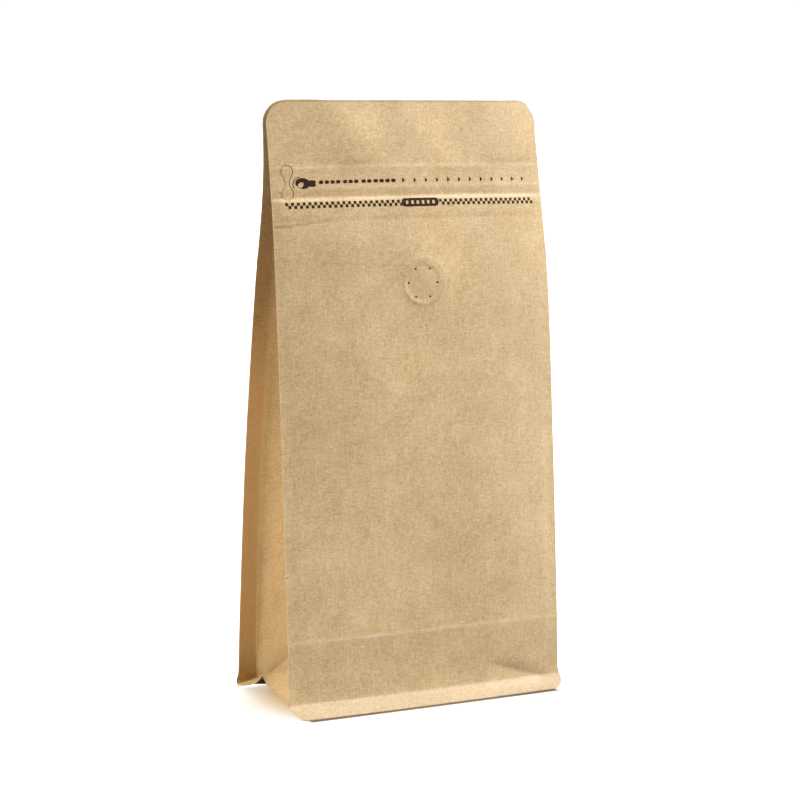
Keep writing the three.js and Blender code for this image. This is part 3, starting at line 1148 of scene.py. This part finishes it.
# two rows of small squares along the zip, with a pill between them
checker = {"from": -61.3, "to": 60.8, "columns": 94, "middle": 221.15, "square": 1.3}
pill = {
    "side": 2.0,
    "height": 221.25,
    "length": 18.3,
    "tall": 3.6,
    "corner": 1.55,
    "marks": 6,
    "markColumns": 8,
    "rows": 14,
    "mark": (0.2, 0.8),  # of its place along the pill
    "tooth": (0.3, 0.7),
    "markTall": 0.5,  # half of it
    "toothTall": 0.75,
}


def addChecker():
    grid = addGrid(checker["columns"], 2)
    run = checker["to"] - checker["from"]
    middle = (checker["from"] + checker["to"]) / 2

    def spare(centre):
        column, row = int((centre.x + 0.5) * checker["columns"]), int((centre.y + 0.5) * 2)
        underPill = abs(middle + centre.x * run - pill["side"]) < pill["length"] / 2
        return (column + row) % 2 == 0 or underPill

    deleteFaces(grid, spare)
    editAll(bpy.ops.mesh.edge_split, type="VERT")
    for vertex in grid.data.vertices:
        vertex.co = (middle + vertex.co.x * run, checker["middle"] + vertex.co.y * 2 * checker["square"], 0)
    return grid


def addPill():
    length, marks = pill["length"], pill["marks"]
    columns = pill["markColumns"] * (marks + 1)
    bar = addBar(pill["side"], pill["height"], length, pill["tall"], pill["corner"], columns, pill["rows"])
    reach = length * marks / (marks + 1) / 2

    def isMark(centre):  # bare teeth along the pill
        across, up = centre.x - pill["side"], abs(centre.y - pill["height"])
        step = (across + reach) / (2 * reach) * marks % 1
        onTooth = pill["tooth"][0] < step < pill["tooth"][1]
        inRow = up < (pill["toothTall"] if onTooth else pill["markTall"])
        return abs(across) < reach and pill["mark"][0] < step < pill["mark"][1] and inRow

    deleteFaces(bar, isMark)
    return bar


arrowheads = {"from": -5.1, "to": 56.4, "count": 12, "height": 230.75, "length": 1.25, "tall": 2.2}


def addArrowheads():
    shapes = []
    for i in range(arrowheads["count"]):
        bpy.ops.object.select_all(action="DESELECT")
        bpy.ops.mesh.primitive_circle_add(vertices=3, radius=1, fill_type="NGON")
        head = bpy.context.active_object
        side = arrowheads["from"] + (arrowheads["to"] - arrowheads["from"]) * i / (arrowheads["count"] - 1)
        length, tall = arrowheads["length"], arrowheads["tall"]
        corners = [(-length / 2, -tall / 2), (length / 2, 0), (-length / 2, tall / 2)]
        for vertex, (x, y) in zip(head.data.vertices, corners):
            vertex.co = (side + x, arrowheads["height"] + y, 0)
        shapes.append(head)
    return shapes


# a dashed line in four runs: from, to, dashes
dashRuns = [(-45.1, -35.3, 4), (-34.0, -26.8, 3), (-25.3, -20.6, 2), (-19.6, -9.0, 4)]
dash = {"height": 230.75, "tall": 1.45, "gap": 0.75, "corner": 0.4}


def addDashes():
    shapes = []
    for start, end, count in dashRuns:
        length = (end - start - dash["gap"] * (count - 1)) / count
        for i in range(count):
            side = start + length / 2 + i * (length + dash["gap"])
            shapes.append(addBar(side, dash["height"], length, dash["tall"], dash["corner"], 4, 6))
    return shapes


# a hand pulling to the right: a cuff, a palm round a bare oval, and a line in front of it
hand = {
    "cuff": (-48.3, 230.3, 3.2, 2.8),
    "palm": (-52.5, 230.45, 3.3, 2.3, -0.1),  # side, height, half width, half height, turn
    "bare": (-53.5, 229.75, 1.55, 1.0, 0.6),
    "line": (-52.6, 230.2, 4.1, 3.0, 0.1),
    "lineWidth": 0.35,
    "lineTurns": (0.56 * math.pi, 1.14 * math.pi),
    "cuffCorner": 0.5,
}


def ovalPoint(oval, turn, grow=0.0):
    side, height, halfX, halfY, lean = oval
    x, y = (halfX + grow) * math.cos(turn), (halfY + grow) * math.sin(turn)
    return side + x * math.cos(lean) - y * math.sin(lean), height + x * math.sin(lean) + y * math.cos(lean)


def addBand(inner, outer, start, end, columns, grow=0.0):
    band = addGrid(columns, 2)
    for vertex in band.data.vertices:
        turn = end + (start - end) * (vertex.co.x + 0.5)
        share = vertex.co.y + 0.5
        innerX, innerY = ovalPoint(inner, turn)
        outerX, outerY = ovalPoint(outer, turn, grow)
        vertex.co = (innerX + (outerX - innerX) * share, innerY + (outerY - innerY) * share, 0)
    if end - start >= 2 * math.pi:  # a full ring, so its ends are joined
        editAll(bpy.ops.mesh.remove_doubles, threshold=0.001)
    return band


def addHand():
    side, height, length, tall = hand["cuff"]
    cuff = addBar(side, height, length, tall, hand["cuffCorner"], 6, 6)
    palm = addBand(hand["bare"], hand["palm"], 0, 2 * math.pi, 36)
    line = addBand(hand["line"], hand["line"], *hand["lineTurns"], 14, hand["lineWidth"])
    return [cuff, palm, line]


joinPrint("zipPrint", [addChecker(), addPill()])
joinPrint("tearPrint", addArrowheads() + addDashes() + addHand())
print("prints laid")

# ---- floor, light and camera
ground = {
    "size": 60,
    "roughness": 0.9,
    "white": (0.8, 0.8, 0.8, 1),
    "unseen": (0.3, 0.3, 0.3, 1),  # what it throws back onto the bag
    "unlit": (0, 0, 0, 1),
    # a warm tint painted into the bag's shadow on the floor
    "shadow": (0.46, 0.25, 0.04, 1),
    "shadowScale": (9.0, 14.0, 1.0),
    "shadowFade": (0.5, 0.78),
    # a painted contact shadow: the dark line where the front edge meets the floor, in metres: half its
    # length, front and back ends
    "contactSide": (0.0655, 0.061),
    "contactFront": (-0.0395, -0.0365),
    "contactBack": (-0.0295, -0.0315),
    "contactShadowGlow": (0.01, 0.006, 0.003, 1),
    "contactShadowTone": (0.08, 0.06, 0.045, 1),
}
bpy.ops.mesh.primitive_plane_add(size=ground["size"], location=(0, 0, 0))
floor = bpy.context.active_object
floor.name = "floor"
floorMaterial, tree, shader = startMaterial("paleFloor")
shader.inputs["Roughness"].default_value = ground["roughness"]
seen = addNode(tree, "LightPath").outputs["Is Camera Ray"]
place = addNode(tree, "TexCoord").outputs["Object"]
# the floor glows white to the camera, less so round the bag so that its shadow shows, with a painted warm
# tint in the shadow
around = addNode(tree, "Mapping", inputs={"Vector": place, "Scale": ground["shadowScale"]})
away = addNode(tree, "VectorMath", operation="LENGTH", inputs={0: around.outputs[0]}).outputs["Value"]
glow = mixColour(tree, rangeNode(tree, away, *ground["shadowFade"]), ground["shadow"], ground["white"])
spot = addNode(tree, "SeparateXYZ", inputs={0: place}).outputs
# the painted contact shadow: the floor's glow and colour turn dark along the front edge
beside = rangeNode(tree, mathNode(tree, "ABSOLUTE", spot["X"]), *ground["contactSide"])
ahead = rangeNode(tree, spot["Y"], *ground["contactFront"])
behind = rangeNode(tree, spot["Y"], *ground["contactBack"])
contactShadow = mathNode(tree, "MULTIPLY", beside, mathNode(tree, "MULTIPLY", ahead, behind))
glow = mixColour(tree, contactShadow, glow, ground["contactShadowGlow"])
tone = mixColour(tree, contactShadow, ground["white"], ground["contactShadowTone"])
tree.links.new(mixColour(tree, seen, ground["unlit"], glow), shader.inputs["Emission Color"])
tree.links.new(mixColour(tree, seen, ground["unseen"], tone), shader.inputs["Base Color"])
shader.inputs["Emission Strength"].default_value = 1.0
floor.data.materials.append(floorMaterial)

# light: a white room that is dim in front and bright behind, a soft sun and a warm lamp on the left
sky = {"turn": (-0.25, 0.45), "strength": (0.08, 1.05)}
world = bpy.data.worlds.new("studio")
bpy.context.scene.world = world
world.use_nodes = True
tree = world.node_tree
background = tree.nodes["Background"]
background.inputs["Color"].default_value = (1, 1, 1, 1)
heading = addNode(tree, "SeparateXYZ", inputs={0: addNode(tree, "TexCoord").outputs["Generated"]})
strength = rangeNode(tree, heading.outputs["Y"], *sky["turn"], *sky["strength"])
tree.links.new(strength, background.inputs["Strength"])


def addLamp(name, kind, place, aim, energy):
    bpy.ops.object.light_add(type=kind, location=place)
    lamp = bpy.context.active_object
    lamp.name = name
    lamp.data.energy = energy
    lamp.rotation_euler = (Vector(place) - Vector(aim)).to_track_quat("Z", "Y").to_euler()
    return lamp.data


key = addLamp("keyLamp", "SUN", (1.35, -0.78, 1.56), (0, 0, 0), 5.72)
key.angle = math.radians(18)
side = addLamp("sideLamp", "AREA", (-1.25, 0.14, 0.36), (0, 0, 0.12), 13.0)
side.size = 0.9
side.color = (1.0, 0.93, 0.80)

view = {
    "place": (-0.4963, -0.9440, 0.26036),
    "down": 6.72,
    "turn": 27.78,
    "lens": 107.9,
    "shift": (-0.0017, -0.0076),
}
bpy.ops.object.camera_add(location=view["place"])
camera = bpy.context.active_object
camera.rotation_euler = (math.radians(90 - view["down"]), 0, math.radians(-view["turn"]))
camera.data.sensor_width = 36
camera.data.lens = view["lens"]
camera.data.shift_x, camera.data.shift_y = view["shift"]
bpy.context.scene.camera = camera
bpy.context.scene.view_settings.view_transform = "Standard"
bpy.context.scene.view_settings.look = "None"
print("stage set")

bpy.context.view_layer.update()
